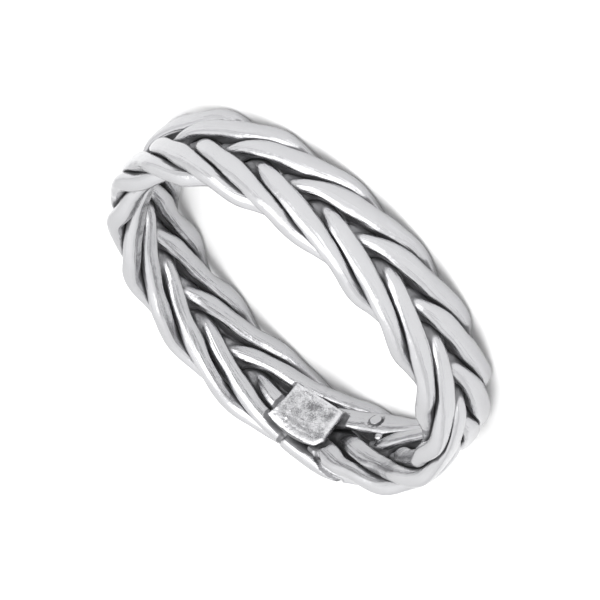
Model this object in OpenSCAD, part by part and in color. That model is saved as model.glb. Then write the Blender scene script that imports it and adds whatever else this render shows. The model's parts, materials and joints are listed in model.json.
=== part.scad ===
// A flat braid of seven round wires, bent into a ring and soldered end to end,
// with a small plate over the joint inside. The ring lies on its side: its axis
// is +Z, its lower rim touches z = 0 and the origin is on the axis.

/* [Ring] */
// Inside diameter between the pressed faces of the wires
inside_d = 18.2; // [15:0.1:22]
// Width of the band from rim to rim
band_w = 4.6; // [4.5:0.05:5]
// Thickness of the braid before its faces are pressed
braid_t = 2.12; // [2.1:0.01:2.3]
// Diameter of each wire
wire_d = 0.9; // [0.6:0.05:0.9]

/* [Braid] */
// Angle round the ring between two neighbouring wires
wire_pitch = 23.3; // [22:0.1:26]
// Angle from the joint to the place where the first wire crosses to the outside
first_crossing = 146.6; // [0:0.1:360]

/* [Pressing] */
// Distance from the middle of the wall at which the pressed faces begin
press_from = 0.88; // [0.8:0.01:1.05]
// Share of the height beyond that distance which the pressing leaves
press_keep = 0.6; // [0.3:0.05:1]

/* [Joint] */
// Angle of the joint round the ring, counted from +X
joint_at = 116; // [0:1:360]
// Gap between the cut ends that meet there
joint_gap = 0.06; // [0.04:0.01:0.2]
// Angle over which the ends are bent, so that each wire meets its neighbour's start
bent_end = 16; // [10:1:24]

/* [Plate] */
// Angle of the middle of the plate round the ring
plate_at = 119.1; // [114:0.1:122]
// Length of the plate's upper edge round the ring
plate_l = 3.42; // [3:0.01:3.6]
// How much shorter the lower edge is, by a slant of the side at the cut corner
plate_slant = 0.39; // [0:0.01:0.6]
// Height of the plate's lower edge above the middle of the band
plate_low = -0.61; // [-1.2:0.01:-0.4]
// Height of its upper edge above the middle of the band
plate_high = 1.66; // [1.2:0.01:1.8]
// Rise of the bowed upper edge in its middle
plate_bow = 0.27; // [0.1:0.01:0.35]
// Depth of the hollow in the other side
plate_hollow = 0.1; // [0.05:0.01:0.2]
// Length and height of the corner that is cut off
plate_corner = [0.45, 0.6];
// Thickness of the plate
plate_t = 0.3; // [0.2:0.05:0.6]
// Gap between the plate and the wires under it
plate_gap = 0.04; // [0.03:0.01:0.1]

/* [Quality] */
// Sides of a wire
wire_sides = 10; // [8:2:16]
// Cross-sections along a wire
wire_rings = 110; // [90:10:160]

/* [Hidden] */

wires = 7;
silver = [0.78, 0.78, 0.79];
wire_r = wire_d / 2;
repeat = wires * wire_pitch;

// Where each wire stops, in degrees from the joint: the last one is cut short
// beside the plate
wire_stop = [360, 360, 360, 360, 360, 360, 350.5];

// A wire's way in one repeat: shares of the higher waves in its two swings
rim_wave_3 = -0.03;
rim_wave_5 = 0.055;
wall_wave_4 = 0.07;
wall_wave_6 = 0.23;
wall_wave_10 = 0.09;

function rim_wave(t) = sin(t) + rim_wave_3 * sin(3 * t) + rim_wave_5 * sin(5 * t);
function wall_wave(t) = sin(2 * t) + wall_wave_4 * sin(4 * t)
    + wall_wave_6 * sin(6 * t) + wall_wave_10 * sin(10 * t);

rim_peak = max([for (t = [0:1:90]) rim_wave(t)]);
wall_peak = max([for (t = [0:1:90]) wall_wave(t)]);
rim_swing = (band_w - wire_d) / 2;
wall_swing = (braid_t - wire_d) / 2;

// The faces of the braid are pressed: what stands beyond press_from is lowered
function pressed(u) = sign(u) * min(abs(u), press_from + press_keep * (abs(u) - press_from));

face_depth = pressed(braid_t / 2);
mid_r = inside_d / 2 + face_depth;
mid_z = band_w / 2;
joint_half = joint_gap / 2 / mid_r * 180 / PI;

// What the wires lack at the joint of meeting their neighbours' starts
joint_miss = 360 - wire_pitch - round((360 - wire_pitch) / repeat) * repeat;

function eased(x) = let (u = min(max(x, 0), 1)) u * u * (3 - 2 * u);
function joint_shift(s) =
    joint_miss / 2 * (eased(1 - s / bent_end) - eased(1 - (360 - s) / bent_end));

function unit(v) = v / norm(v);
function around(a) = [cos(a), sin(a), 0];

// Centre of wire k at the angle s from the joint, which runs clockwise from above
function centre(k, s) =
    let (t = 360 * (s + joint_shift(s) - first_crossing - k * wire_pitch) / repeat,
         r = mid_r + wall_swing * wall_wave(t) / wall_peak)
    r * around(joint_at - s) + [0, 0, mid_z + rim_swing * rim_wave(t) / rim_peak];

function heading(k, s) = unit(centre(k, s + 0.1) - centre(k, s - 0.1));

// A point of the unpressed braid, moved to where the pressing leaves it
function settle(p) =
    let (r = norm([p.x, p.y]), q = mid_r + pressed(r - mid_r))
    [p.x * q / r, p.y * q / r, p.z];

// A cut end is flat on the plane through the ring's axis at the angle s
function onto_cut(p, d, s) =
    let (side = around(joint_at - s + 90))
    p - d * (p * side) / (d * side);

function section(k, s, cut) =
    let (c = centre(k, s),
         d = heading(k, s),
         across = unit(cross(d, around(joint_at - s))),
         up = cross(across, d))
    [for (i = [0:wire_sides - 1])
        let (a = 360 * i / wire_sides,
             p = c + wire_r * (cos(a) * up + sin(a) * across))
        settle(cut ? onto_cut(p, d, s) : p)];

module strand(k) {
    from = joint_half;
    to = wire_stop[k] - joint_half;
    last = wire_rings - 1;
    rows = [for (i = [0:last])
        section(k, from + (to - from) * i / last, i == 0 || i == last)];
    points = [for (row = rows) each row];
    sides = [for (i = [0:last - 1], j = [0:wire_sides - 1])
        let (n = (j + 1) % wire_sides, a = i * wire_sides, b = a + wire_sides)
        [a + j, a + n, b + n, b + j]];
    start_cap = [for (j = [wire_sides - 1:-1:0]) j];
    end_cap = [for (j = [0:wire_sides - 1]) last * wire_sides + j];
    color(silver) polyhedron(points, concat(sides, [start_cap, end_cap]), convexity = 10);
}

// Radius of the circle that bows or hollows an edge of length l by depth h
function bow_r(l, h) = (l * l / 4 + h * h) / (2 * h);

// The plate seen from the ring's axis: x runs round the ring, y is the height
module plate_outline() {
    h = plate_high - plate_low;
    top_r = bow_r(plate_l, plate_bow);
    side_r = bow_r(h, plate_hollow);
    difference() {
        union() {
            translate([-plate_l / 2, plate_low]) square([plate_l, h]);
            intersection() {
                translate([0, plate_high + plate_bow - top_r]) circle(r = top_r, $fn = 96);
                translate([-plate_l / 2, 0]) square([plate_l, plate_high + plate_bow]);
            }
        }
        translate([plate_hollow - plate_l / 2 - side_r, plate_low + h / 2])
            circle(r = side_r, $fn = 96);
        polygon([[plate_l / 2 - plate_slant, plate_low - 0.01],
                 [plate_l / 2 + 0.01, plate_low - 0.01],
                 [plate_l / 2 + 0.01, plate_high]]);
        polygon([[plate_l / 2 - plate_corner.x, plate_high + plate_bow + 0.01],
                 [plate_l / 2 + 0.01, plate_high + plate_bow + 0.01],
                 [plate_l / 2 + 0.01, plate_high - plate_corner.y]]);
    }
}

module joint_plate() {
    outer_r = inside_d / 2 - plate_gap;
    color(silver) translate([0, 0, mid_z]) intersection() {
        difference() {
            cylinder(r = outer_r, h = 2 * band_w, center = true, $fn = 180);
            cylinder(r = outer_r - plate_t, h = 3 * band_w, center = true, $fn = 180);
        }
        rotate([0, 0, plate_at + 90]) rotate([90, 0, 0])
            linear_extrude(inside_d) mirror([1, 0]) plate_outline();
    }
}

strand(0);  // strand_1
strand(1);  // strand_2
strand(2);  // strand_3
strand(3);  // strand_4
strand(4);  // strand_5
strand(5);  // strand_6
strand(6);  // strand_7
joint_plate();
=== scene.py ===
import json
import math
from typing import NamedTuple

import bmesh
import bpy
import numpy as np
from bpy.props import FloatProperty, FloatVectorProperty, IntProperty, PointerProperty
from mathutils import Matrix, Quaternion, Vector, noise
from mathutils.bvhtree import BVHTree
from mathutils.kdtree import KDTree

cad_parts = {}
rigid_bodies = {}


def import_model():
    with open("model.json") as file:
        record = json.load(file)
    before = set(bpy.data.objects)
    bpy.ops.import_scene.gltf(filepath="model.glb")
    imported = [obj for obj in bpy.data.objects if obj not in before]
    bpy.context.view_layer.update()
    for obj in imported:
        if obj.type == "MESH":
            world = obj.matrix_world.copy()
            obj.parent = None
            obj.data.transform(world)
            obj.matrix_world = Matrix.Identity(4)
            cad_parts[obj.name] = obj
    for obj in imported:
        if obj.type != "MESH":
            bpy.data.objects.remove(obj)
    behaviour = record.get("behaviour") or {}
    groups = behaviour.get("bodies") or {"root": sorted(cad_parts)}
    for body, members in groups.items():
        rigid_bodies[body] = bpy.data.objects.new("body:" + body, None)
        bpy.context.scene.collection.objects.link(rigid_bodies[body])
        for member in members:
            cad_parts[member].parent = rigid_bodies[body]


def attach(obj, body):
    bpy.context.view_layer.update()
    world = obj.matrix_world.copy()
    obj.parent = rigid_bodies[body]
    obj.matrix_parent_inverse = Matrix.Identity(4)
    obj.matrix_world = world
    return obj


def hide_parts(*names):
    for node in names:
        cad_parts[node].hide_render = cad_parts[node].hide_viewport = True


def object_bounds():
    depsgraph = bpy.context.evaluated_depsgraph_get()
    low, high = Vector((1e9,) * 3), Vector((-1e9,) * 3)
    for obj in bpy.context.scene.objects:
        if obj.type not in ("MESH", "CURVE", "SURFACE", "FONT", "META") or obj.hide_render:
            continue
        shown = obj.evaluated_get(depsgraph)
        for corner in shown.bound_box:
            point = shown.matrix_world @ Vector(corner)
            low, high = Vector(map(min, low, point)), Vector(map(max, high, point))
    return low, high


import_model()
cad_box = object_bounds()

bl_info = {
    "name": "Braided Silver Ring",
    "version": (1, 0, 0),
    "blender": (4, 5, 0),
    "location": "View3D > Sidebar > Ring",
    "description": "A ring of seven braided silver wires, darkened in its recesses",
    "category": "Object",
}

MM = 0.001
FULL_TURN = 2 * math.pi
AXIS = Vector((0.0, 0.0, 1.0))
BODY = "root"
WIRES = 7


def srgb(hex_colour):
    """Linear red, green and blue of an sRGB hex colour."""
    parts = [int(hex_colour[i : i + 2], 16) / 255 for i in (0, 2, 4)]
    return [c / 12.92 if c <= 0.04045 else ((c + 0.055) / 1.055) ** 2.4 for c in parts]


class BandSizes(bpy.types.PropertyGroup):
    """Sizes of the band, as the wires were braided and pressed."""

    inside_r: FloatProperty(
        name="Inside radius", description="From the axis to the inner face of the wires",
        default=9.1 * MM, min=7.5 * MM, max=11 * MM, unit="LENGTH", precision=5)
    band_w: FloatProperty(
        name="Band width", description="From rim to rim",
        default=round(cad_box[1].z, 4), min=4 * MM, max=5 * MM, unit="LENGTH", precision=5)
    braid_t: FloatProperty(
        name="Braid thickness", description="Thickness of the braid of round wires before pressing",
        default=2.12 * MM, min=2.1 * MM, max=2.3 * MM, unit="LENGTH", precision=5)
    wire_d: FloatProperty(
        name="Wire", description="Diameter of the wires where they are free",
        default=1.01 * MM, min=0.6 * MM, max=1.2 * MM, unit="LENGTH", precision=5)
    core_d: FloatProperty(
        name="Braided core", description="Diameter at which the braided wires just clear each other",
        default=0.9 * MM, min=0.6 * MM, max=0.95 * MM, unit="LENGTH", precision=5)
    squareness: FloatProperty(
        name="Squareness", description="2 for a round wire, more for a wire rolled flatter",
        default=2.06, min=2, max=4)
    spread: FloatProperty(
        name="Spread", description="How much wider the wires are outside, between middle and rim",
        default=0.22, min=0, max=0.5)
    slim: FloatProperty(
        name="Slimness", description="How much narrower they are inside the ring",
        default=0.03, min=0, max=0.3)
    tip: FloatProperty(
        name="Tip", description="How much narrower the wires are where they come up in the middle",
        default=0.08, min=0, max=0.4)
    core_fill: FloatProperty(
        name="Core filling", description="How much fuller the wires are in the middle of the braid",
        default=0.95, min=0, max=1)
    wobble: FloatProperty(
        name="Wobble", description="How much the hammered wires vary in width to either side",
        default=0.05, min=0, max=0.2)
    contact_gap: FloatProperty(
        name="Contact gap", description="Gap left where two wires press against each other",
        default=0.02 * MM, min=0.01 * MM, max=0.1 * MM, unit="LENGTH", precision=6)
    press_from: FloatProperty(
        name="Pressing starts", description="Height over the middle of the wall where pressing starts",
        default=0.52 * MM, min=0.4 * MM, max=1.1 * MM, unit="LENGTH", precision=5)
    face_h: FloatProperty(
        name="Face height", description="Height of the pressed faces over the middle of the wall",
        default=0.99 * MM, min=0.8 * MM, max=1.2 * MM, unit="LENGTH", precision=5)
    press_limit: FloatProperty(
        name="Pressing limit", description="Height over the middle of the wall that no wire passes",
        default=1.03 * MM, min=0.9 * MM, max=1.2 * MM, unit="LENGTH", precision=5)
    sway: FloatProperty(
        name="Sway", description="How far a wire wanders from its ideal way, as braided by hand",
        default=0.03 * MM, min=0, max=0.1 * MM, unit="LENGTH", precision=6)
    dents: FloatProperty(
        name="Dents", description="Depth of the soft dents that pliers and rollers left",
        default=0.07 * MM, min=0, max=0.1 * MM, unit="LENGTH", precision=6)
    moat_w: FloatProperty(
        name="Moat width", description="Width of the filed channel round the joint plate",
        default=0.2 * MM, unit="LENGTH", precision=5)
    moat_d: FloatProperty(
        name="Moat depth", description="Depth of that channel",
        default=0.2 * MM, unit="LENGTH", precision=5)


class BraidLay(bpy.types.PropertyGroup):
    """How the wires lie in the braid."""

    pitch: FloatProperty(
        name="Wire pitch", description="Angle round the ring between two neighbouring wires",
        default=math.radians(23.3), subtype="ANGLE")
    first_crossing: FloatProperty(
        name="First crossing", description="Angle from the joint to the first wire's first crossing",
        default=math.radians(146.6), subtype="ANGLE")
    joint_at: FloatProperty(
        name="Joint", description="Angle of the soldered joint round the ring",
        default=math.radians(116), subtype="ANGLE")
    bent_end: FloatProperty(
        name="Bent end", description="Angle over which the wires' ends are bent to meet at the joint",
        default=math.radians(16), subtype="ANGLE")
    lean: FloatProperty(
        name="Lean", description="How far the middle of the braid lies nearer to the upper rim",
        default=0.07 * MM, unit="LENGTH", precision=5)
    upper_swing: FloatProperty(
        name="Upper swing", description="How much further the wires swing out to the upper rim",
        default=0.09 * MM, unit="LENGTH", precision=5)
    short_end: FloatProperty(
        name="Short end", description="Angle by which the last wire stops short of the joint",
        default=math.radians(9.5), subtype="ANGLE")
    sides: IntProperty(
        name="Sides", description="Faces round a wire", default=36, min=12, max=48)
    rings: IntProperty(
        name="Rings", description="Cuts along a wire", default=760, min=200, max=1500)


class PlateSizes(bpy.types.PropertyGroup):
    """The small plate soldered over the joint."""

    plate_at: FloatProperty(
        name="Place", description="Angle of its middle round the ring",
        default=math.radians(119.1), subtype="ANGLE")
    length: FloatProperty(
        name="Length", description="Length of the upper edge round the ring",
        default=3.42 * MM, unit="LENGTH", precision=5)
    slant: FloatProperty(
        name="Slant", description="How much shorter the lower edge is",
        default=0.39 * MM, unit="LENGTH", precision=5)
    low: FloatProperty(
        name="Lower edge", description="Height of the lower edge over the middle of the band",
        default=-0.61 * MM, unit="LENGTH", precision=5)
    high: FloatProperty(
        name="Upper edge", description="Height of the upper edge over the middle of the band",
        default=1.66 * MM, unit="LENGTH", precision=5)
    bow: FloatProperty(
        name="Bow", description="Rise of the upper edge in its middle",
        default=0.27 * MM, unit="LENGTH", precision=5)
    low_bow: FloatProperty(
        name="Lower bow", description="Drop of the lower edge in its middle",
        default=0.08 * MM, unit="LENGTH", precision=5)
    hollow: FloatProperty(
        name="Hollow", description="Depth of the hollow in the side away from the cut corner",
        default=0.1 * MM, unit="LENGTH", precision=5)
    corner_l: FloatProperty(
        name="Cut corner, length", description="Length cut off the upper edge at the corner",
        default=0.45 * MM, unit="LENGTH", precision=5)
    corner_h: FloatProperty(
        name="Cut corner, height", description="Height cut off the side at the corner",
        default=0.6 * MM, unit="LENGTH", precision=5)
    thickness: FloatProperty(
        name="Thickness", description="Thickness of the plate",
        default=0.3 * MM, unit="LENGTH", precision=5)
    gap: FloatProperty(
        name="Gap", description="Gap between the plate and the wires",
        default=0.04 * MM, unit="LENGTH", precision=6)
    edge: FloatProperty(
        name="Worn edge", description="Width over which the face falls away to its worn edges",
        default=0.16 * MM, unit="LENGTH", precision=5)


class SilverFinish(bpy.types.PropertyGroup):
    """Colours and gloss of the silver."""

    polished: FloatVectorProperty(
        name="Polished silver", description="Colour of the polished surface",
        default=srgb("B3B3B5"), size=3, subtype="COLOR")
    worn: FloatVectorProperty(
        name="Worn silver", description="Colour of the plate's face, which wear keeps bare",
        default=srgb("CDCDCF"), size=3, subtype="COLOR")
    oxide: FloatVectorProperty(
        name="Oxide", description="Colour of the darkened recesses",
        default=srgb("7C7C7E"), size=3, subtype="COLOR")
    polish_roughness: FloatProperty(
        name="Polish", description="Roughness of the polished surface",
        default=0.25, min=0, max=1, subtype="FACTOR")
    oxide_roughness: FloatProperty(
        name="Oxide roughness", description="Roughness of the darkened recesses",
        default=0.62, min=0, max=1, subtype="FACTOR")
    line_depth: FloatProperty(
        name="Line depth", description="Depth of the drawn lines",
        default=0.04 * MM, min=0, unit="LENGTH", precision=6)


class Studio(bpy.types.PropertyGroup):
    """Floor, lights and camera."""

    elevation: FloatProperty(
        name="Camera height", description="Angle of the view above the floor",
        default=math.radians(24.44), subtype="ANGLE")
    roll: FloatProperty(
        name="Camera roll", description="Turn of the camera about its view",
        default=math.radians(-135.2), subtype="ANGLE")
    distance: FloatProperty(
        name="Camera distance", description="From the camera to the ring",
        default=1.01, unit="LENGTH")
    view_w: FloatProperty(
        name="View width", description="Width of the picture at the ring",
        default=29.72 * MM, unit="LENGTH", precision=5)
    aim: FloatVectorProperty(
        name="Aim", description="How far the view's middle is right of and above the ring's",
        default=(0.02 * MM, 0.1 * MM), size=2, unit="LENGTH", precision=6)
    floor: FloatVectorProperty(
        name="Floor", description="Colour of the floor",
        default=srgb("E6E6E6"), size=3, subtype="COLOR")
    room_left: FloatProperty(
        name="Room, left", description="Share of the room's brightness on the ring's left",
        default=1.15, min=0)
    room_right: FloatProperty(
        name="Room, right", description="Share of the room's brightness on the ring's right",
        default=1.15, min=0)
    room_low: FloatProperty(
        name="Room, low", description="Brightness of the pale room near the floor",
        default=1.0, min=0)
    room_high: FloatProperty(
        name="Room, high", description="Brightness of the pale room overhead",
        default=1.5, min=0)
    softbox_at: FloatVectorProperty(
        name="Softbox", description="Place of the large softbox",
        default=(0.25, -0.85, 0.9), size=3, unit="LENGTH", subtype="TRANSLATION")
    softbox_w: FloatProperty(
        name="Softbox width", description="Width and height of the softbox",
        default=1.7, min=0, unit="LENGTH")
    softbox_power: FloatProperty(
        name="Softbox power", description="Power of the softbox",
        default=18.0, min=0, unit="POWER")


def settings():
    """The sizes, colours and lights that the panel shows."""
    return bpy.context.scene.braided_ring


# Places in the ring


def smooth(x, low, high):
    """0 up to low and 1 from high, with a soft rise between."""
    u = np.clip((x - low) / (high - low), 0, 1)
    return u * u * (3 - 2 * u)


def unit(v):
    """Vectors of length 1 with the directions of v."""
    return v / np.linalg.norm(v, axis=-1, keepdims=True)


def radial(a):
    """Unit vectors from the axis outwards at the angles a."""
    return np.stack([np.cos(a), np.sin(a), np.zeros_like(a)], -1)


def ring_point(angle, r, height):
    """The point at an angle in degrees, and mm from the axis and over the middle of the band."""
    p = radial(np.float64(math.radians(angle))) * r * MM
    p[2] = settings().band.band_w / 2 + height * MM
    return p


def middle_r():
    """Radius of the middle of the wall."""
    return settings().band.inside_r + settings().band.face_h


def radius_of(points):
    """Distance of each point from the axis."""
    return np.hypot(points[:, 0], points[:, 1])


def height_of(points):
    """Height of each point over the middle of the band."""
    return points[:, 2] - settings().band.band_w / 2


def on_outside(points):
    """0 on the inner side of the wall and 1 on the outer, changing softly in its middle."""
    return smooth(radius_of(points) - middle_r(), -0.3 * MM, 0.3 * MM)


# The wires' way through the braid

# Swings of a wire from rim to rim and from face to face over one repeat of the braid, as sums of
# sine waves: how often each swings in one repeat, and its share. From face to face a wire crosses
# quickly and then stays long on a face.
RIM_WAVES = {1: 1, 3: -0.03, 5: 0.055}
WALL_WAVES = {2: 1, 4: 0.15, 6: 0.2, 10: 0.05}
QUARTER = np.linspace(0, math.pi / 2, 181)

# Waves round the ring in which a hand-braided wire strays from its way, and varies in width
SWAY_WAVES = (3, 7, 11)
SWAY_SEED = 40
WOBBLE_WAVES = (13, 20, 29)
WOBBLE_SEED = 80

# Angle beside the joint over which such unevenness fades, because the wires' ends meet there
JOINT_FADE = 0.2
# Half the gap between the ends of two wires at the joint
HALF_GAP = math.radians(0.015)


def sum_of(waves, t):
    """Sum of the sine waves at the phase t of the repeat."""
    return sum(share * np.sin(times * t) for times, share in waves.items())


def swing(waves, t):
    """Where a wire is in a swing at the phase t: 1 is its furthest place, and -1 the opposite."""
    return sum_of(waves, t) / sum_of(waves, QUARTER).max()


def off_joint(s):
    """0 at the joint and 1 away from it, for the angles s from the joint."""
    return smooth(s, 0, JOINT_FADE) * smooth(-s, -FULL_TURN, JOINT_FADE - FULL_TURN)


def ripple(s, waves, phases):
    """Unevenness along a wire, from -1 to 1, that fades at the joint."""
    return off_joint(s) * np.mean([np.sin(w * s + p) for w, p in zip(waves, phases)], axis=0)


def sway_of(wire, s):
    """How far a wire leaves its ideal way, outwards and upwards, from -1 to 1."""
    draw = np.random.default_rng(SWAY_SEED + wire)
    phases = draw.uniform(0, FULL_TURN, (2, len(SWAY_WAVES)))
    return [ripple(s, SWAY_WAVES, row) for row in phases]


def wobble_of(wire, s):
    """How the width of a wire varies along it, from -1 to 1."""
    draw = np.random.default_rng(WOBBLE_SEED + wire)
    return ripple(s, WOBBLE_WAVES, draw.uniform(0, FULL_TURN, len(WOBBLE_WAVES)))


def joint_shift(s):
    """Angle by which the wires' ends are bent, so that each meets the start of its neighbour."""
    lay = settings().lay
    turn = FULL_TURN - lay.pitch
    miss = turn - round(turn / (WIRES * lay.pitch)) * WIRES * lay.pitch
    start = smooth(-s, -lay.bent_end, 0)
    end = smooth(s, FULL_TURN - lay.bent_end, FULL_TURN)
    return miss / 2 * (start - end)


def centre_line(wire, s):
    """Centre of a wire, counted from 0, at the angles s from the joint, clockwise from above."""
    band = settings().band
    lay = settings().lay
    turn = s + joint_shift(s) - lay.first_crossing - wire * lay.pitch
    t = FULL_TURN * turn / (WIRES * lay.pitch)
    out, up = sway_of(wire, s)
    r = middle_r() + (band.braid_t - band.core_d) / 2 * swing(WALL_WAVES, t) + band.sway * out
    high = swing(RIM_WAVES, t)
    z = (band.band_w - band.core_d) / 2 * high + lay.lean * (1 - high ** 2) + band.sway * up
    z += lay.upper_swing * np.maximum(high, 0) ** 2
    p = radial(lay.joint_at - s) * r[..., None]
    p[..., 2] = band.band_w / 2 + z
    return p


def wire_frame(wire, s):
    """Centre, outward and sideways directions of a wire at the angles s."""
    step = 1e-3
    centres = centre_line(wire, s)
    heading = unit(centre_line(wire, s + step) - centre_line(wire, s - step))
    side = unit(np.cross(heading, radial(settings().lay.joint_at - s)))
    return centres, np.cross(side, heading), side


# What braiding, hammering and pressing did to the wires


class Swell(NamedTuple):
    """A place where a wire was hammered wider, so that it covers its neighbours."""

    wire: int  # counted from 1
    middle: float  # degrees from the joint
    half: float  # degrees to each side
    wider: float  # share of the width that is added
    higher: float  # shift towards the upper rim, in mm


SWELLS = (
    Swell(wire=1, middle=306, half=10, wider=0.3, higher=0.0),
    Swell(wire=3, middle=339, half=17, wider=0.4, higher=-0.16),
    Swell(wire=4, middle=272, half=14, wider=0.15, higher=0.04),
    Swell(wire=5, middle=289, half=11, wider=0.2, higher=0.0),
    Swell(wire=6, middle=337, half=18, wider=0.3, higher=0.12),
    Swell(wire=7, middle=346, half=16, wider=0.2, higher=0.24),
)
SWELL_CORE = 0.4  # share of its half over which a swell has its full width

# Heights off the middle of the band between which a wire grows to its full width, and between
# which it becomes slimmer again at the rim
FLANK = (0.1 * MM, 1.1 * MM)
RIM = (1.2 * MM, 1.8 * MM)

# Distances from the middle of the wall and of the band over which the fuller core ends
CORE_DEPTH = (0.1 * MM, 0.4 * MM)
CORE_HEIGHT = (1.0 * MM, 1.7 * MM)

# The rims are pressed from 0.25 mm inside the band's width to 0.02 mm outside it
RIM_PRESSED = 0.25 * MM
RIM_PROUD = 0.02 * MM

# Soft dents and the smaller ones on them
DENT_SIZE = 1.5 * MM
SMALL_DENT_SIZE = 0.5 * MM
SMALL_DENT_SHARE = 0.25
DENTED_R = 0.3 * MM  # distance from the wire's centre from which dents have their full depth


def swell_of(wire, s, centres):
    """Factor of the width and rise of the centre along a wire."""
    band = settings().band
    off = np.abs(height_of(centres))
    flank = smooth(off, *FLANK)
    outer = on_outside(centres)
    spread = band.spread * outer - band.slim * (1 - outer)
    wider = 1 - band.tip * (1 - flank) + spread * flank * (1 - smooth(off, *RIM))
    wider += 2 * band.wobble * wobble_of(wire, s)
    higher = np.zeros_like(s)
    for swell in SWELLS:
        if swell.wire == wire + 1:
            off_middle = np.abs(np.degrees(s) - swell.middle) / swell.half
            near = 1 - smooth(off_middle, SWELL_CORE, 1)
            wider += swell.wider * near
            higher += swell.higher * MM * near
    return wider, higher


def rolled(section, radius):
    """The points of a wire's round section, moved out to its slightly squarer one."""
    squareness = settings().band.squareness
    square = (np.abs(section / radius) ** squareness).sum(1) ** (-1 / squareness)
    return section * (square * np.linalg.norm(section, axis=1) / radius)[:, None]


def fill_core(points, centres):
    """Spreads the wires in the middle of the braid, where they fill all room under the faces."""
    deep = np.abs(radius_of(points) - middle_r())
    core = (1 - smooth(deep, *CORE_DEPTH)) * (1 - smooth(np.abs(height_of(points)), *CORE_HEIGHT))
    return centres + (points - centres) * (1 + settings().band.core_fill * core)[:, None]


def flatten_contacts(points, centres, s, wire):
    """Flattens a wire where it presses against another, half way between their centres."""
    passes = 3
    cuts = 1400  # places on another wire's centre line
    beyond = 0.2  # angle by which that line is carried on past the joint at either end
    beside = np.radians(np.linspace(-7, 7, 25))  # angles at which its nearest place is looked for
    line_s = np.linspace(-beyond, FULL_TURN + beyond, cuts)
    others = [centre_line(k, line_s) for k in range(WIRES) if k != wire]
    near_s = np.clip(s[:, None] + beside, 0, FULL_TURN)
    index = np.round((near_s + beyond) / (FULL_TURN + 2 * beyond) * (cuts - 1)).astype(int)
    for _ in range(passes):
        nearest = np.full(len(points), np.inf)
        for line in others:
            for column in index.T:
                d = np.linalg.norm(points - line[column], axis=1)
                np.minimum(nearest, d, out=nearest)
        own = np.linalg.norm(points - centres, axis=1)
        back = np.clip((own + settings().band.contact_gap - nearest) / 2, 0, None)
        points = centres + (points - centres) * (1 - back / own)[:, None]
    return points


def press(u, start, limit):
    """Lowers what stands beyond start, so that nothing stands beyond limit."""
    room = limit - start
    over = np.maximum(np.abs(u) - start, 0)
    return np.sign(u) * (np.minimum(np.abs(u), start) + room * np.tanh(over / room))


def press_band(points):
    """Presses the two faces and the two rims of the braid."""
    band = settings().band
    r = radius_of(points)
    pressed = middle_r() + press(r - middle_r(), band.press_from, band.press_limit)
    points[:, :2] *= (pressed / r)[:, None]
    middle = band.band_w / 2
    high = height_of(points)
    rim = middle + RIM_PROUD + settings().lay.upper_swing * (high > 0)
    points[:, 2] = middle + press(high, middle - RIM_PRESSED, rim)
    return points


def bumps(points, size, seed):
    """Uneven heights, from -1 to 1 at each point, in waves of a size."""
    shift = Vector((seed * 3.1, seed * 1.7, seed * 5.3))
    return np.array([noise.noise(Vector(p) / size + shift) for p in points])


def dent(points, centres, s, wire):
    """Presses dents into a wire and opens its seams. At the joint all wires have the same dents."""
    own = off_joint(s)
    uneven = own * bumps(points, DENT_SIZE, wire) + (1 - own) * bumps(points, DENT_SIZE, WIRES)
    uneven += SMALL_DENT_SHARE * bumps(points, SMALL_DENT_SIZE, WIRES)
    ways = points - centres
    far = np.linalg.norm(ways, axis=1)
    depth = settings().band.dents * (0.5 + 0.5 * uneven) * np.minimum(far / DENTED_R, 1)
    depth += SEAM_DEPTH * on_seams(points)
    return points - ways * (depth / far)[:, None]


# What was filed, and what the solder left open, beside the plate


class Seam(NamedTuple):
    """A line where the solder left the wires open."""

    half: float  # half its width, in mm
    places: tuple  # degrees round the ring, mm from the axis and mm over the middle of the band


SEAMS = (
    Seam(half=0.085, places=(
        (127.2, 9.10, 1.55), (130.6, 9.12, 2.15), (130.8, 10.05, 2.22), (133.2, 10.35, 2.2),
        (137.8, 10.5, 2.2))),
    Seam(half=0.12, places=((117.0, 9.1, 2.05), (115.6, 9.5, 2.25), (115.0, 9.95, 2.25))),
)
SEAM_SIDE = (0.5, 1.5)  # shares of its half width between which its side slopes
SEAM_REACH = 0.8 * MM  # how far before and behind the line it opens the wires
SEAM_DEPTH = 0.14 * MM


class WireEnd(NamedTuple):
    """The end of a wire that points to the middle of the ring."""

    name: str
    angle: float  # degrees round the ring
    height: float  # mm over the middle of the band
    face_r: float  # mm from the axis to its face
    radius: float  # mm
    rounding: float  # mm
    groove: float  # mm from it to the middle of the line filed round it, 0 for no line


WIRE_ENDS = (
    WireEnd("wire_end_filed", angle=138.2, height=-1.14, face_r=9.12, radius=0.32, rounding=0.05,
            groove=0.05),
    WireEnd("wire_end_ball", angle=142.0, height=-0.47, face_r=9.38, radius=0.25, rounding=0.2,
            groove=0),
)
GROOVE_SIDE = (0.03 * MM, 0.09 * MM)  # distances from its middle between which its side slopes
GROOVE_REACH = 0.5 * MM  # how far behind the end's face the line opens the wires

MOAT_SIDE = (0.7, 1.3)  # shares of the moat's width between which its side slopes
FAR_OFF = 1.0  # distance given for a point that is on another side of the ring


def plate_place(points):
    """Places seen from the axis: along the ring from the plate's middle, and height from the
    middle of the band."""
    plate = settings().plate
    a = np.arctan2(points[:, 1], points[:, 0]) - plate.plate_at
    r = settings().band.inside_r - plate.gap - plate.thickness
    return np.stack([r * np.sin(a), height_of(points)], -1)


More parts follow.
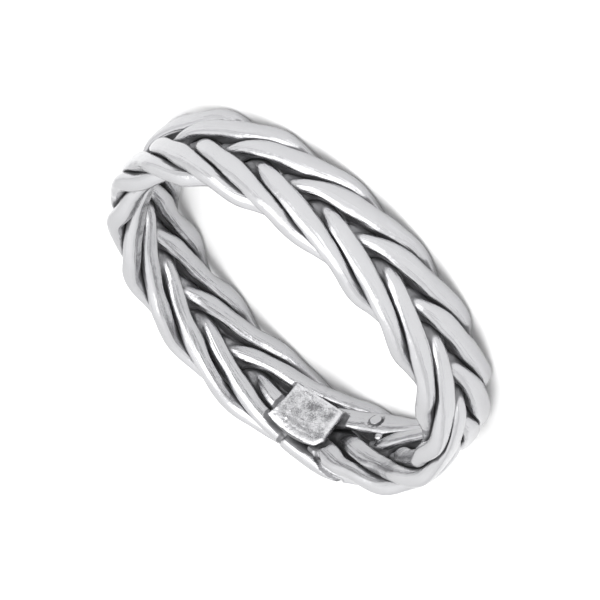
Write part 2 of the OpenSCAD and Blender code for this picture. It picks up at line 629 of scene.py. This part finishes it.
def beside_plate(points):
    """Distance of each point from the outline of the plate, seen from the axis, and less than 0
    within it."""
    plate = settings().plate
    x, y = plate_place(points).T
    high = plate.high + plate.bow * (1 - (2 * x / plate.length) ** 2)
    right = plate.length / 2 - plate.slant * (plate.high - y) / (plate.high - plate.low)
    corner = (x - plate.length / 2) / plate.corner_l + (y - plate.high) / plate.corner_h + 1
    corner /= math.hypot(1 / plate.corner_l, 1 / plate.corner_h)
    sides = np.stack([-plate.length / 2 - x, x - right, plate.low - y, y - high, corner], -1)
    outside = np.linalg.norm(np.maximum(sides, 0), axis=1)
    same_side = points @ radial(np.float64(plate.plate_at)) > 0
    return np.where(same_side, np.where(outside > 0, outside, sides.max(1)), FAR_OFF)


def cut_moat(points):
    """Files a channel into the wires round the plate."""
    band = settings().band
    r = radius_of(points)
    depth = band.moat_d * (1 - smooth(beside_plate(points) / band.moat_w, *MOAT_SIDE))
    filed = np.where(r < middle_r(), np.maximum(r, band.inside_r + depth), r)
    points[:, :2] *= (filed / r)[:, None]
    return points


def beside_line(points, p, q, view):
    """Distance of each point from a straight line between two places, as seen along the view."""
    run = q - p - ((q - p) @ view) * view
    along = np.clip((points - p) @ run / (run @ run), 0, 1)
    way = points - p - along[:, None] * (q - p)
    behind = way @ view
    distance = np.linalg.norm(way - behind[:, None] * view, axis=1)
    return np.where(np.abs(behind) < SEAM_REACH, distance, FAR_OFF)


def on_groove(points, end):
    """1 on the line filed round the end of a wire, 0 clear of it."""
    a = np.arctan2(points[:, 1], points[:, 0]) - math.radians(end.angle)
    up = height_of(points) - end.height * MM
    distance = np.abs(np.hypot(settings().band.inside_r * a, up) - (end.radius + end.groove) * MM)
    reached = radius_of(points) < end.face_r * MM + GROOVE_REACH
    return (1 - smooth(distance, *GROOVE_SIDE)) * reached


def on_seams(points):
    """1 on an open line, as it shows from the front, or on a filed one, 0 clear of them."""
    near = np.zeros(len(points))
    tilt = settings().studio.elevation
    view = np.array([0, -math.cos(tilt), math.sin(tilt)])
    for seam in SEAMS:
        corners = [ring_point(*place) for place in seam.places]
        for p, q in zip(corners, corners[1:]):
            distance = beside_line(points, p, q, view) / (seam.half * MM)
            near = np.maximum(near, 1 - smooth(distance, *SEAM_SIDE))
    for end in WIRE_ENDS:
        if end.groove:
            near = np.maximum(near, on_groove(points, end))
    return near


# Making pieces


def new_piece(name, bm, material, node=None):
    """A finished mesh as a piece of the ring, which may stand for a node of the solid model."""
    mesh = bpy.data.meshes.new(name)
    bm.to_mesh(mesh)
    bm.free()
    mesh.materials.append(material)
    mesh.shade_smooth()
    piece = bpy.data.objects.new(name, mesh)
    bpy.context.scene.collection.objects.link(piece)
    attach(piece, BODY)
    if node:
        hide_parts(node)
    return piece


def coordinates(mesh):
    """Places of a mesh's vertices, one row each."""
    co = np.empty(len(mesh.vertices) * 3)
    mesh.vertices.foreach_get("co", co)
    return co.reshape(-1, 3)


def point_tree(verts):
    """A search tree over the places of the vertices."""
    tree = KDTree(len(verts))
    for i, v in enumerate(verts):
        tree.insert(v.co, i)
    tree.balance()
    return tree


def straight_wire(length, radius, sides, rings):
    """A straight piece of wire with slightly rounded ends, cut into rings."""

    def is_long(edge):
        return abs(edge.verts[0].co.z - edge.verts[1].co.z) > length / 2

    bm = bmesh.new()
    bmesh.ops.create_cone(
        bm, cap_ends=True, segments=sides, radius1=radius, radius2=radius, depth=length)
    bmesh.ops.translate(bm, verts=bm.verts, vec=(0, 0, length / 2))
    rims = [e for e in bm.edges if not is_long(e)]
    bmesh.ops.bevel(
        bm, geom=rims, offset=0.015 * radius, offset_type="OFFSET", segments=2,
        profile=0.5, affect="EDGES", material=-1, clamp_overlap=True)
    long_edges = [e for e in bm.edges if is_long(e)]
    bmesh.ops.subdivide_edges(bm, edges=long_edges, cuts=rings, use_grid_fill=True)
    return bm


def braided_wire(wire, material):
    """One wire of the braid: a straight wire bent along its way and pressed against the others."""
    band = settings().band
    lay = settings().lay
    stop = FULL_TURN - HALF_GAP - (lay.short_end if wire == WIRES - 1 else 0)
    length = (stop - HALF_GAP) * middle_r()
    radius = band.wire_d / 2
    bm = straight_wire(length, radius, lay.sides, lay.rings)
    piece = new_piece(f"wire_{wire + 1}", bm, material, f"strand_{wire + 1}")
    mesh = piece.data
    blank = coordinates(mesh)
    s = HALF_GAP + blank[:, 2] / length * (stop - HALF_GAP)
    centres, out, side = wire_frame(wire, s)
    section = rolled(blank[:, :2], radius)
    wider, higher = swell_of(wire, s, centres)
    centres[:, 2] += higher
    points = centres + section[:, :1] * out + section[:, 1:] * side * wider[:, None]
    points = fill_core(points, centres)
    points = flatten_contacts(points, centres, s, wire)
    points = press_band(points)
    points = dent(points, centres, s, wire)
    points = cut_moat(points)
    mesh.vertices.foreach_set("co", points.ravel())
    drawn = mesh.attributes.new("drawn", "FLOAT_VECTOR", "POINT")
    drawn.data.foreach_set("vector", blank.ravel())
    mesh.update()
    return piece


def wire_end(end, material):
    """The end of a wire that points to the middle of the ring, filed flat or melted to a ball."""
    depth = 0.9 * MM
    unevenness = 0.03 * MM
    bump_size = 0.35 * MM
    bm = bmesh.new()
    bmesh.ops.create_cone(
        bm, cap_ends=True, segments=40, radius1=end.radius * MM, radius2=end.radius * MM,
        depth=depth)
    face_edges = [e for e in bm.edges if min(v.co.z for v in e.verts) > 0]
    bmesh.ops.bevel(
        bm, geom=face_edges, offset=end.rounding * MM, offset_type="OFFSET", segments=6,
        profile=0.5, affect="EDGES", material=-1, clamp_overlap=True)
    bmesh.ops.translate(bm, verts=bm.verts, vec=(0, 0, -depth / 2))
    inward = -Vector(radial(np.float64(math.radians(end.angle))))
    turn = AXIS.rotation_difference(inward).to_matrix()
    bmesh.ops.transform(bm, matrix=turn.to_4x4(), verts=bm.verts)
    place = Vector(ring_point(end.angle, end.face_r, end.height))
    bmesh.ops.translate(bm, verts=bm.verts, vec=place)
    bm.normal_update()
    for v in bm.verts:
        v.co += unevenness * noise.noise(v.co / bump_size) * v.normal
    return new_piece(end.name, bm, material)


def plate_outline(bm):
    """Shapes a square grid of one unit to the outline of the flat plate, cut by hand."""
    plate = settings().plate
    for v in bm.verts:
        u, w = v.co.x, v.co.y + 0.5
        bowed = 1 - 4 * u * u
        low = plate.low - plate.low_bow * bowed
        high = plate.high + plate.bow * bowed
        left = plate.hollow * (1 - (2 * w - 1) ** 2) * max(0, -2 * u) ** 2
        right = plate.slant * (1 - w) * (u + 0.5)
        v.co = (u * plate.length + left - right, low + (high - low) * w, 0)
    corner = Vector((plate.length / 2 - plate.corner_l, plate.high, 0))
    bmesh.ops.bisect_plane(
        bm, geom=bm.verts[:] + bm.edges[:] + bm.faces[:], dist=1e-7, plane_co=corner,
        plane_no=Vector((plate.corner_h, plate.corner_l, 0)), clear_outer=True)


# The worn and pitted face of the plate
FACE_WAVES = ((0.030 * MM, 0.55 * MM), (0.016 * MM, 0.16 * MM))  # heights and widths of its waves
FACE_SUNK = 0.05 * MM  # how far it lies under the flat blank
EDGE_LEVEL = 0.4 * MM  # width over which the waves and pits end towards its edges
PIT_SIZE = 0.21 * MM
PIT_DEPTH = 0.07 * MM
PIT_CLEAR = 0.32  # height of the noise over which it is a pit
PIT_SHIFT = Vector((7, 3, 1))  # so that the pits don't follow the waves
TOP_FALL = 0.16 * MM  # how far it falls away to the upper edge
TOP_W = 0.7 * MM  # width over which it does


def plate_face(x, y, inward):
    """Height of the plate's face over its blank, at a distance inward from its edge: worn round
    at its edges, uneven and pitted."""
    plate = settings().plate
    off_edge = 1 - min(inward / plate.edge, 1)
    fall = 0.75 * plate.edge * (1 - math.sqrt(1 - off_edge ** 2))
    p = Vector((x, y, 3 * MM))
    wear = sum(height * noise.noise(p / width) for height, width in FACE_WAVES)
    pit = PIT_DEPTH * max(0, noise.noise(p / PIT_SIZE + PIT_SHIFT) - PIT_CLEAR)
    top = max(0, 1 - (plate.high - y) / TOP_W)
    level = min(inward / EDGE_LEVEL, 1)
    return (wear * (1 - top) - pit - FACE_SUNK) * level - fall - TOP_FALL * top ** 2


def joint_plate(material):
    """A small plate, bent to the ring over the joint and worn. Its face is bare."""
    band = settings().band
    plate = settings().plate
    bm = bmesh.new()
    bmesh.ops.create_grid(bm, x_segments=84, y_segments=64, size=0.5)
    plate_outline(bm)
    border = point_tree([v for v in bm.verts if v.is_boundary])
    face = {v: border.find(v.co)[2] for v in bm.verts}
    back = bmesh.ops.extrude_face_region(bm, geom=bm.faces[:], use_keep_orig=True)
    back_verts = [g for g in back["geom"] if isinstance(g, bmesh.types.BMVert)]
    bmesh.ops.translate(bm, verts=back_verts, vec=(0, 0, -plate.thickness))
    for v, inward in face.items():
        v.co.z = plate_face(v.co.x, v.co.y, inward)
    face_r = band.inside_r - plate.gap - plate.thickness
    for v in bm.verts:
        a = plate.plate_at + v.co.x / face_r
        r = face_r - v.co.z
        v.co = (r * math.cos(a), r * math.sin(a), band.band_w / 2 + v.co.y)
    bmesh.ops.recalc_face_normals(bm, faces=bm.faces[:])
    return new_piece("plate", bm, material, "joint_plate")


# Materials


def add_node(tree, kind, inputs=None, **values):
    """Adds a node, sets its properties and then its sockets: a socket is linked to, and any other
    value is set."""
    node = tree.nodes.new(kind)
    for name, value in values.items():
        setattr(node, name, value)
    for key, value in (inputs or {}).items():
        if isinstance(value, bpy.types.NodeSocket):
            tree.links.new(value, node.inputs[key])
        else:
            node.inputs[key].default_value = value
    return node


def silver(name, bare, wear):
    """Sterling silver darkened with oxide and polished on top, which leaves the oxide in what is
    deep or rough. Wear makes it more spotted."""
    finish = settings().finish
    material = bpy.data.materials.new(name)
    material.use_nodes = True
    tree = material.node_tree
    tree.nodes.clear()
    tarnish = add_node(tree, "ShaderNodeAttribute", attribute_name="tarnish")
    drawn = add_node(tree, "ShaderNodeAttribute", attribute_name="drawn")
    place = add_node(tree, "ShaderNodeTexCoord").outputs["Object"]
    # Lines that drawing and braiding left along a wire: 0.15 mm apart and 4 mm long
    along = add_node(
        tree, "ShaderNodeVectorMath",
        {0: drawn.outputs["Vector"], 1: (6.5 / MM, 6.5 / MM, 0.26 / MM)}, operation="MULTIPLY")
    lines = add_node(
        tree, "ShaderNodeTexNoise",
        {"Vector": along.outputs["Vector"], "Scale": 1.0, "Detail": 3.0})
    # Patches of three quarters of a millimetre that the polishing wheel left duller
    patches = add_node(
        tree, "ShaderNodeTexNoise", {"Vector": place, "Scale": 1.35 / MM, "Detail": 3.0})
    # Specks of oxide, 0.07 mm wide
    specks = add_node(
        tree, "ShaderNodeTexNoise", {"Vector": place, "Scale": 14 / MM, "Detail": 2.0})
    oxide = tarnish.outputs["Fac"]
    for pattern, share in ((lines, 0.3), (patches, 0.3 + 0.5 * wear), (specks, 0.25 + 0.4 * wear)):
        oxide = add_node(
            tree, "ShaderNodeMath", {0: pattern.outputs["Fac"], 1: share, 2: oxide},
            operation="MULTIPLY_ADD").outputs[0]
    dark = add_node(
        tree, "ShaderNodeMapRange",
        {"Value": oxide, "From Min": 0.6 + 0.1 * wear, "From Max": 1.1 - 0.15 * wear},
        interpolation_type="SMOOTHSTEP")
    colour = add_node(
        tree, "ShaderNodeMix",
        {"Factor": dark.outputs["Result"], "A": (*bare, 1), "B": (*finish.oxide, 1)},
        data_type="RGBA")
    gloss = add_node(
        tree, "ShaderNodeMapRange",
        {"Value": dark.outputs["Result"], "To Min": finish.polish_roughness,
         "To Max": finish.oxide_roughness})
    # The patches are one and a half times as deep as the lines
    relief = add_node(
        tree, "ShaderNodeMath", {0: patches.outputs["Fac"], 1: 1.5, 2: lines.outputs["Fac"]},
        operation="MULTIPLY_ADD")
    bump = add_node(
        tree, "ShaderNodeBump",
        {"Strength": 1.0, "Distance": finish.line_depth, "Height": relief.outputs[0]})
    shader = add_node(
        tree, "ShaderNodeBsdfPrincipled",
        {"Base Color": colour.outputs["Result"], "Metallic": 1.0,
         "Roughness": gloss.outputs["Result"], "Normal": bump.outputs["Normal"]})
    add_node(tree, "ShaderNodeOutputMaterial", {"Surface": shader.outputs[0]})
    return material


def wire_silver():
    """Drawn, braided and rolled wire: the high places shine pale grey with fine lines along the
    wire, and the recesses are nearly black and dull."""
    return silver("polished_oxidised_silver", settings().finish.polished, wear=0.0)


def plate_silver():
    """Sheet silver, pitted where it was soldered and rubbed by the finger: bright at its edges,
    with dull grey spots where the pits keep their oxide."""
    return silver("worn_pitted_silver", settings().finish.worn, wear=0.6)


# Oxide in the recesses

FELT = 0.9 * MM  # open space over a vertex that is searched for metal
RAYS = 14  # number of rays that search it

# Depths under a face or rim between which the polishing wheel's reach ends, and the share of the
# oxide that it takes off
WHEEL = (0.12 * MM, 0.5 * MM)
WHEEL_TAKES = 0.45

# Depths under a face or rim between which more oxide sets in
SUNK = (0.34 * MM, 0.62 * MM)

# Distances from the plate's edges and from its top between which its face turns duller
PLATE_INNER = (0.1 * MM, 0.5 * MM)
PLATE_LOWER = (0.2 * MM, 1.6 * MM)

MOAT_DARK = (0.9, 1.25)  # shares of the moat's width between which its oxide ends

# The oxide that each place adds, and the share of it that is kept inside the ring, where it shows
# lighter
SUNK_OXIDE = 0.65
PLATE_OXIDE = 0.247
MOAT_OXIDE = 0.8
SEAM_OXIDE = 0.9
INSIDE_KEEPS = 0.68


def covered(piece, tree):
    """How much of the open space over each vertex is closed by metal, from 0 to 1."""
    mesh = piece.data
    points = coordinates(mesh)
    normals = np.empty(len(points) * 3)
    mesh.vertices.foreach_get("normal", normals)
    normals = normals.reshape(-1, 3)
    golden = math.pi * (3 - math.sqrt(5))
    turns = golden * np.arange(RAYS)
    heights = np.sqrt(1 - (np.arange(RAYS) + 0.5) / RAYS)
    slants = np.sqrt(1 - heights ** 2)
    fan = np.stack([slants * np.cos(turns), slants * np.sin(turns), heights], -1)
    helper = np.where(np.abs(normals[:, 2:]) < 0.9, [[0, 0, 1.0]], [[1.0, 0, 0]])
    first = unit(np.cross(helper, normals))
    second = np.cross(normals, first)
    lift = 0.004 * MM  # so that a ray doesn't meet the face that it starts from
    starts = points + normals * lift
    total = np.zeros(len(points))
    for ray in fan:
        ways = ray[0] * first + ray[1] * second + ray[2] * normals
        for i, (p, d) in enumerate(zip(starts, ways)):
            gap = tree.ray_cast(p, d, FELT)[3]
            if gap is not None:
                total[i] += 1 - gap / FELT
    return total / RAYS


def plate_dullness(points):
    """How dull the plate's face is: its middle and its lower part, away from its bright edges."""
    from_top = settings().plate.high - plate_place(points)[:, 1]
    return smooth(-beside_plate(points), *PLATE_INNER) * smooth(from_top, *PLATE_LOWER)


def tarnish_of(piece, tree):
    """How much oxide each vertex of a piece holds: none at 0, and all from about 1."""
    band = settings().band
    points = coordinates(piece.data)
    wall = band.face_h - np.abs(radius_of(points) - middle_r())
    rim = band.band_w / 2 - np.abs(height_of(points))
    under = np.minimum(wall, rim)
    is_plate = piece.name == "plate"
    is_braided = piece.name in {f"wire_{k + 1}" for k in range(WIRES)}
    oxide = covered(piece, tree) * (1 - WHEEL_TAKES * (1 - smooth(under, *WHEEL)))
    if is_braided:
        oxide += SUNK_OXIDE * smooth(under, *SUNK)
    if is_plate:
        oxide += PLATE_OXIDE * plate_dullness(points)
    # Less oxide inside the ring, so the inner side shows lighter
    oxide *= INSIDE_KEEPS + (1 - INSIDE_KEEPS) * on_outside(points)
    if is_braided:
        moat = 1 - smooth(beside_plate(points) / band.moat_w, *MOAT_DARK)
        oxide += MOAT_OXIDE * moat * (radius_of(points) <= middle_r())
    if not is_plate:
        oxide += SEAM_OXIDE * on_seams(points)
    return oxide


def set_tarnish(pieces):
    """Stores the oxide of each piece as the attribute that the silver reads."""
    everything = bmesh.new()
    for piece in pieces:
        everything.from_mesh(piece.data)
    tree = BVHTree.FromBMesh(everything)
    everything.free()
    for piece in pieces:
        layer = piece.data.attributes.new("tarnish", "FLOAT", "POINT")
        layer.data.foreach_set("value", tarnish_of(piece, tree))


# The studio


def make_floor():
    """A pale floor, painted matt so that it mirrors nothing."""
    bm = bmesh.new()
    bmesh.ops.create_grid(bm, x_segments=2, y_segments=2, size=1.5)
    mesh = bpy.data.meshes.new("floor")
    bm.to_mesh(mesh)
    bm.free()
    floor = bpy.data.objects.new("floor", mesh)
    bpy.context.scene.collection.objects.link(floor)
    paint = bpy.data.materials.new("pale_matt_floor")
    paint.use_nodes = True
    shader = paint.node_tree.nodes["Principled BSDF"]
    shader.inputs["Base Color"].default_value = (*settings().studio.floor, 1)
    shader.inputs["Roughness"].default_value = 0.9
    mesh.materials.append(paint)


def light_room():
    """A pale room that grows brighter overhead, as a light tent does."""
    studio = settings().studio
    world = bpy.data.worlds.new("pale_room")
    bpy.context.scene.world = world
    world.use_nodes = True
    tree = world.node_tree
    way = add_node(tree, "ShaderNodeTexCoord")
    parts = add_node(tree, "ShaderNodeSeparateXYZ", {"Vector": way.outputs["Generated"]})
    across = add_node(
        tree, "ShaderNodeMapRange",
        {"Value": parts.outputs["X"], "From Min": -1.0, "From Max": 1.0,
         "To Min": studio.room_left, "To Max": studio.room_right})
    rise = add_node(
        tree, "ShaderNodeMapRange",
        {"Value": parts.outputs["Z"], "From Min": 0.1, "From Max": 0.9,
         "To Min": studio.room_low, "To Max": studio.room_high})
    both = add_node(
        tree, "ShaderNodeMath",
        {0: across.outputs["Result"], 1: rise.outputs["Result"]}, operation="MULTIPLY")
    room = tree.nodes["Background"]
    room.inputs["Color"].default_value = (1, 1, 1, 1)
    tree.links.new(both.outputs[0], room.inputs["Strength"])


def softbox(name, target):
    """A large square lamp that faces a point."""
    studio = settings().studio
    place = Vector(studio.softbox_at)
    data = bpy.data.lights.new(name, "AREA")
    data.shape = "SQUARE"
    data.size = studio.softbox_w
    data.energy = studio.softbox_power
    lamp = bpy.data.objects.new(name, data)
    lamp.location = place
    lamp.rotation_mode = "QUATERNION"
    lamp.rotation_quaternion = (target - place).to_track_quat("-Z", "Y")
    bpy.context.scene.collection.objects.link(lamp)


def place_camera(target):
    """The camera at the photograph's angle, rolled as the picture is."""
    studio = settings().studio
    data = bpy.data.cameras.new("camera")
    data.sensor_width = 36
    data.lens = data.sensor_width * studio.distance / studio.view_w
    data.clip_start, data.clip_end = 0.01, 10
    camera = bpy.data.objects.new("camera", data)
    bpy.context.scene.collection.objects.link(camera)
    back = Vector((0, -math.cos(studio.elevation), math.sin(studio.elevation)))
    turn = (-back).to_track_quat("-Z", "Y") @ Quaternion(AXIS, studio.roll)
    camera.rotation_mode = "QUATERNION"
    camera.rotation_quaternion = turn
    camera.location = target + back * studio.distance + turn @ Vector((*studio.aim, 0))
    bpy.context.scene.camera = camera


# Operators


class RING_OT_wires(bpy.types.Operator):
    """Braid the seven wires of the band"""

    bl_idname = "braided_ring.wires"
    bl_label = "Braid the wires"

    def execute(self, context):
        material = wire_silver()
        for wire in range(WIRES):
            braided_wire(wire, material)
        return {"FINISHED"}


class RING_OT_plate(bpy.types.Operator):
    """Make the small plate over the joint"""

    bl_idname = "braided_ring.plate"
    bl_label = "Make the joint plate"

    def execute(self, context):
        joint_plate(plate_silver())
        return {"FINISHED"}


class RING_OT_ends(bpy.types.Operator):
    """Make the small wire ends that show beside the joint"""

    bl_idname = "braided_ring.ends"
    bl_label = "Make the wire ends"

    def execute(self, context):
        material = bpy.data.materials["polished_oxidised_silver"]
        for end in WIRE_ENDS:
            wire_end(end, material)
        return {"FINISHED"}


class RING_OT_tarnish(bpy.types.Operator):
    """Darken the recesses of the braid"""

    bl_idname = "braided_ring.tarnish"
    bl_label = "Darken the recesses"

    def execute(self, context):
        set_tarnish([o for o in context.scene.objects if o.name.startswith(("wire_", "plate"))])
        return {"FINISHED"}


class RING_OT_stage(bpy.types.Operator):
    """Set up the floor, the lights and the camera"""

    bl_idname = "braided_ring.stage"
    bl_label = "Set up the studio"

    def execute(self, context):
        middle = Vector((0, 0, settings().band.band_w / 2))
        make_floor()
        light_room()
        softbox("softbox_over", middle)
        place_camera(middle)
        context.scene.view_settings.view_transform = "Standard"
        return {"FINISHED"}


class RING_PT_panel(bpy.types.Panel):
    """Everything that makes the ring, in order"""

    bl_label = "Braided ring"
    bl_idname = "RING_PT_panel"
    bl_space_type = "VIEW_3D"
    bl_region_type = "UI"
    bl_category = "Ring"

    def draw(self, context):
        for group in ("band", "lay", "plate", "finish", "studio"):
            box = self.layout.box()
            values = getattr(context.scene.braided_ring, group)
            for name in values.__annotations__:
                box.prop(values, name)
        for step in STEPS:
            self.layout.operator(step.bl_idname)


class RingSettings(bpy.types.PropertyGroup):
    """All sizes and colours of the ring."""

    band: PointerProperty(type=BandSizes)
    lay: PointerProperty(type=BraidLay)
    plate: PointerProperty(type=PlateSizes)
    finish: PointerProperty(type=SilverFinish)
    studio: PointerProperty(type=Studio)


GROUPS = (BandSizes, BraidLay, PlateSizes, SilverFinish, Studio, RingSettings)
STEPS = (RING_OT_wires, RING_OT_plate, RING_OT_ends, RING_OT_tarnish, RING_OT_stage)


def register():
    for cls in (*GROUPS, *STEPS, RING_PT_panel):
        bpy.utils.register_class(cls)
    bpy.types.Scene.braided_ring = PointerProperty(type=RingSettings)


def unregister():
    del bpy.types.Scene.braided_ring
    for cls in (RING_PT_panel, *reversed(STEPS), *reversed(GROUPS)):
        bpy.utils.unregister_class(cls)


def main():
    register()
    bpy.ops.braided_ring.wires()
    bpy.ops.braided_ring.plate()
    bpy.ops.braided_ring.ends()
    bpy.ops.braided_ring.tarnish()
    bpy.ops.braided_ring.stage()


if __name__ == "__main__":
    main()
